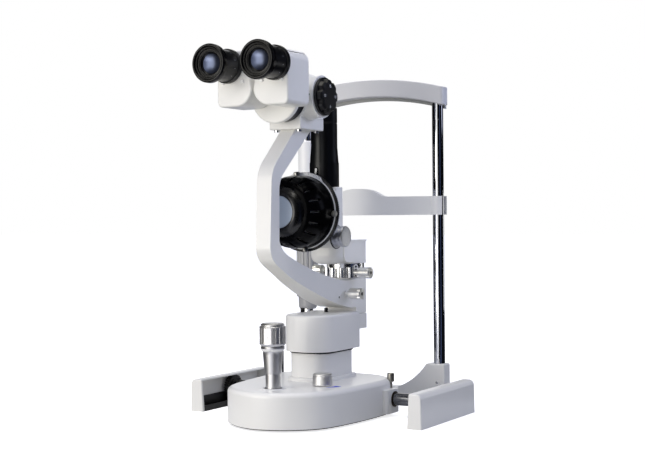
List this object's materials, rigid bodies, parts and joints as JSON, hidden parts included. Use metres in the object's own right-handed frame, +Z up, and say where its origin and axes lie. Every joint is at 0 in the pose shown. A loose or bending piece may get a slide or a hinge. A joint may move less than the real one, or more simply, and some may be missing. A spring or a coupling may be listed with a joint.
{
  "type": "slit lamp",
  "caption": "Table slit lamp: binocular microscope and lamp on a rolling joystick base, with rails and a chin rest.",
  "frame": {"origin": "table plane, at the centre of the rails' four table bolts", "axes": "+X examiner's right, +Y towards the patient, +Z up"},
  "size_m": [0.358, 0.376, 0.4864],
  "materials": {
    "white_paint": "satin warm white powder coat with a fine orange peel",
    "black_plastic": "satin black moulded plastic",
    "black_anodised": "black anodised aluminium, satin",
    "chrome": "polished chrome plate",
    "ground_steel": "ground and polished steel",
    "turned_aluminium": "turned and knurled satin aluminium",
    "bronze": "plain bearing bronze",
    "grey_rubber": "soft grey rubber",
    "lens_glass": "coated optical glass with a violet blue bloom",
    "bulb_glass": "clear bulb glass on a ceramic base",
    "front_mirror": "front surface mirror on a black holder",
    "white_sleeve": "glossy white sleeve",
    "grey_sleeve": "pale grey ribbed sleeve"
  },
  "bodies": {
    "stand": {"rail_cover_left": "white_paint", "rail_cover_right": "white_paint", "gear_rack_left": "black_plastic", "gear_rack_right": "black_plastic", "chinrest_crossbar": "white_paint", "chinrest_post_left": "chrome", "chinrest_post_right": "chrome", "headband": "white_paint", "forehead_strip": "grey_rubber", "lift_collar": "grey_sleeve"},
    "axle_carriage": {"axle_guides": "black_plastic"},
    "wheelset": {"cross_axle": "ground_steel", "toothed_wheel_left": "black_plastic", "toothed_wheel_right": "black_plastic"},
    "base": {"base_casting": "white_paint", "base_plate": "black_plastic", "shaft_bushes": "bronze", "glide_foot": "black_plastic", "column_sleeve": "white_paint", "power_socket": "black_plastic"},
    "brake": {"brake_screw": "turned_aluminium"},
    "dial": {"brightness_dial": "turned_aluminium"},
    "gimbal": {"joystick_gimbal": "ground_steel"},
    "joystick": {"joystick_lever": "turned_aluminium"},
    "grip": {"joystick_grip": "turned_aluminium"},
    "lift_screw": {"lift_screw": "ground_steel"},
    "elevator": {"elevating_housing": "white_paint", "pivot_post": "ground_steel"},
    "microscope": {"microscope_arm": "white_paint", "microscope_body": "white_paint", "foot_screws": "chrome", "objective_lens": "lens_glass", "front_disc": "white_paint"},
    "arm_lock": {"lock_knob_lower": "chrome"},
    "drum": {"magnification_drum": "black_anodised", "magnification_knob_left": "black_plastic", "magnification_knob_right": "black_plastic"},
    "prism_right": {"prism_housing_right": "white_paint", "eyepiece_right": "black_anodised", "eye_lens_right": "lens_glass"},
    "prism_left": {"prism_housing_left": "white_paint", "eyepiece_left": "black_anodised", "eye_lens_left": "lens_glass"},
    "eyecup_right": {"eyecup_right": "black_plastic"},
    "eyecup_left": {"eyecup_left": "black_plastic"},
    "illumination": {"index_collar": "chrome", "lamp_bracket": "white_paint", "lamp_bowl": "black_plastic", "lamp_screws": "ground_steel", "lamp_bulb": "bulb_glass", "tower_tube": "black_anodised", "mirror_head": "front_mirror"},
    "lamp_lock_right": {"lock_knob_upper": "chrome"},
    "lamp_lock_left": {"lock_knob_left": "chrome"},
    "slit_ring": {"rotation_ring": "black_anodised"},
    "slit_width": {"slit_knob": "turned_aluminium"},
    "filter": {"filter_lever": "ground_steel"},
    "chin_rest": {"chin_bar": "white_paint", "chin_tube": "white_sleeve"},
    "chin_turn": {"chin_sleeve": "grey_sleeve"}
  },
  "joints": [
    {"name": "fore_aft_roll", "type": "slide", "parent": "stand", "child": "axle_carriage", "axis": [0, 1, 0], "range_m": [-0.045, 0.045]},
    {"name": "wheel_turn", "type": "hinge", "parent": "axle_carriage", "child": "wheelset", "pos_m": [0, 0, 0.0235], "axis": [1, 0, 0], "range_deg": [-150, 150]},
    {"name": "side_slide", "type": "slide", "parent": "axle_carriage", "child": "base", "axis": [1, 0, 0], "range_m": [-0.045, 0.045]},
    {"name": "brake_turn", "type": "hinge", "parent": "base", "child": "brake", "pos_m": [0.0865, 0.009, 0.05], "axis": [0, 0, 1], "range_deg": [-180, 180]},
    {"name": "dial_turn", "type": "hinge", "parent": "base", "child": "dial", "pos_m": [0.042, -0.099, 0.06], "axis": [0, 0, 1], "range_deg": [-135, 135]},
    {"name": "stick_fore_aft", "type": "hinge", "parent": "base", "child": "gimbal", "pos_m": [0, -0.153, 0.04], "axis": [1, 0, 0], "range_deg": [-8, 8]},
    {"name": "stick_sideways", "type": "hinge", "parent": "gimbal", "child": "joystick", "pos_m": [0, -0.153, 0.04], "axis": [0, 1, 0], "range_deg": [-8, 8]},
    {"name": "grip_turn", "type": "hinge", "parent": "joystick", "child": "grip", "pos_m": [0, -0.153, 0.12], "axis": [0, 0, 1], "range_deg": [-270, 270]},
    {"name": "screw_turn", "type": "hinge", "parent": "base", "child": "lift_screw", "pos_m": [0, -0.0325, 0.06], "axis": [0, 0, 1], "range_deg": [-270, 270]},
    {"name": "column_lift", "type": "slide", "parent": "base", "child": "elevator", "axis": [0, 0, 1], "range_m": [-0.015, 0.015]},
    {"name": "microscope_swing", "type": "hinge", "parent": "elevator", "child": "microscope", "pos_m": [0, 0.04, 0.16], "axis": [0, 0, 1], "range_deg": [-60, 60]},
    {"name": "lamp_swing", "type": "hinge", "parent": "elevator", "child": "illumination", "pos_m": [0, 0.04, 0.22], "axis": [0, 0, 1], "range_deg": [-60, 60]},
    {"name": "arm_lock_turn", "type": "hinge", "parent": "microscope", "child": "arm_lock", "pos_m": [0.03, -0.002, 0.1645], "axis": [1, 0, 0], "range_deg": [-90, 90]},
    {"name": "magnification_turn", "type": "hinge", "parent": "microscope", "child": "drum", "pos_m": [0, -0.092, 0.4275], "axis": [1, 0, 0], "continuous": true},
    {"name": "pd_right", "type": "hinge", "parent": "microscope", "child": "prism_right", "pos_m": [0.02, -0.17, 0.4275], "axis": [0, 1, 0], "range_deg": [-9, 8]},
    {"name": "pd_left", "type": "hinge", "parent": "microscope", "child": "prism_left", "pos_m": [-0.02, -0.17, 0.4275], "axis": [0, 1, 0], "range_deg": [-8, 9]},
    {"name": "dioptre_right", "type": "hinge", "parent": "prism_right", "child": "eyecup_right", "pos_m": [0.0356, -0.235, 0.462], "axis": [0, 1, 0], "range_deg": [-150, 150]},
    {"name": "dioptre_left", "type": "hinge", "parent": "prism_left", "child": "eyecup_left", "pos_m": [-0.0356, -0.235, 0.462], "axis": [0, 1, 0], "range_deg": [-150, 150]},
    {"name": "lamp_lock_right_turn", "type": "hinge", "parent": "illumination", "child": "lamp_lock_right", "pos_m": [0.03, 0.022, 0.1922], "axis": [1, 0, 0], "range_deg": [-90, 90]},
    {"name": "lamp_lock_left_turn", "type": "hinge", "parent": "illumination", "child": "lamp_lock_left", "pos_m": [-0.03, 0.022, 0.195], "axis": [1, 0, 0], "range_deg": [-90, 90]},
    {"name": "slit_rotation", "type": "hinge", "parent": "illumination", "child": "slit_ring", "pos_m": [0, -0.0715, 0.277], "axis": [0, 1, 0], "range_deg": [-90, 90]},
    {"name": "slit_width_turn", "type": "hinge", "parent": "illumination", "child": "slit_width", "pos_m": [0.04, -0.038, 0.2435], "axis": [1, 0, 0], "range_deg": [-20, 160]},
    {"name": "filter_slide", "type": "slide", "parent": "illumination", "child": "filter", "axis": [0, 0, 1], "range_m": [-0.008, 0]},
    {"name": "chin_lift", "type": "slide", "parent": "stand", "child": "chin_rest", "axis": [0, 0, 1], "range_m": [-0.04, 0.026]},
    {"name": "chin_sleeve_turn", "type": "hinge", "parent": "stand", "child": "chin_turn", "pos_m": [-0.109, 0.118, 0.18], "axis": [0, 0, 1], "range_deg": [-620, 420]}
  ],
  "couplings": [
    {"joint": "wheel_turn", "follows": "fore_aft_roll", "rad_per_m": -55.556},
    {"joint": "grip_turn", "follows": "column_lift", "rad_per_m": 314},
    {"joint": "screw_turn", "follows": "column_lift", "rad_per_m": 314},
    {"joint": "pd_left", "follows": "pd_right", "ratio": -1},
    {"joint": "chin_sleeve_turn", "follows": "chin_lift", "rad_per_m": 261.8}
  ]
}
